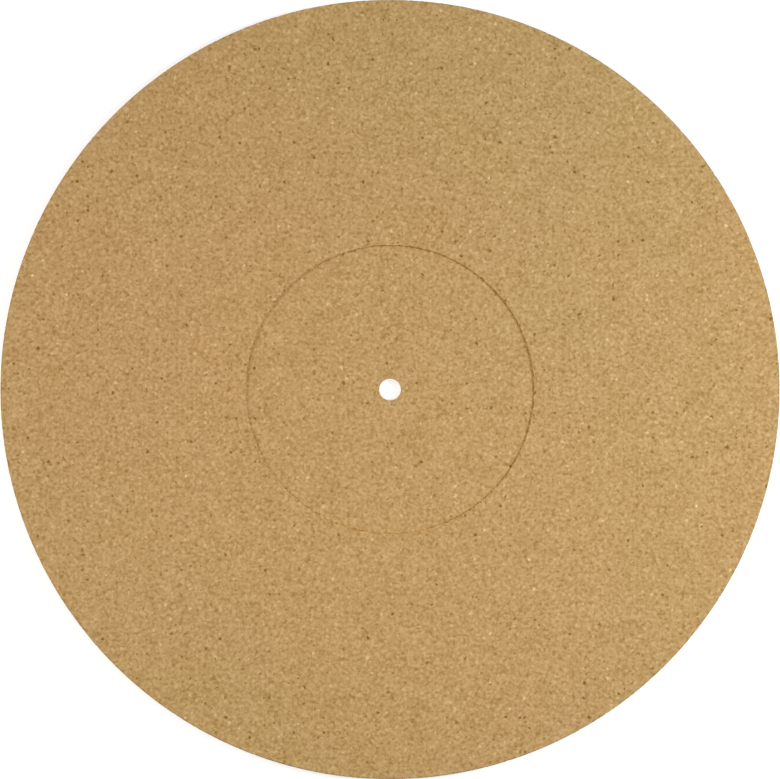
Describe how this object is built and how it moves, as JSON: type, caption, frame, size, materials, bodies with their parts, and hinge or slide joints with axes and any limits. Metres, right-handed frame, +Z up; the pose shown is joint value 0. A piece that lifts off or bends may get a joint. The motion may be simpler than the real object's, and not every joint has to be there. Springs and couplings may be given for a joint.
{
  "type": "turntable platter mat",
  "caption": "Round pressed-cork mat that lies on a record player's platter, with a spindle hole and a shallow recess for the record's label.",
  "frame": {"origin": "centre of the underside, on the axis of the spindle hole", "axes": "+Z up along the spindle axis, from the underside to the face that the record lies on; X and Y lie in the underside, and the mat is round, so their turn about Z is free"},
  "size_m": [0.3, 0.3, 0.003],
  "materials": {
    "cork": "matte"
  },
  "bodies": {
    "root": {"cork_mat": "cork"}
  },
  "joints": []
}
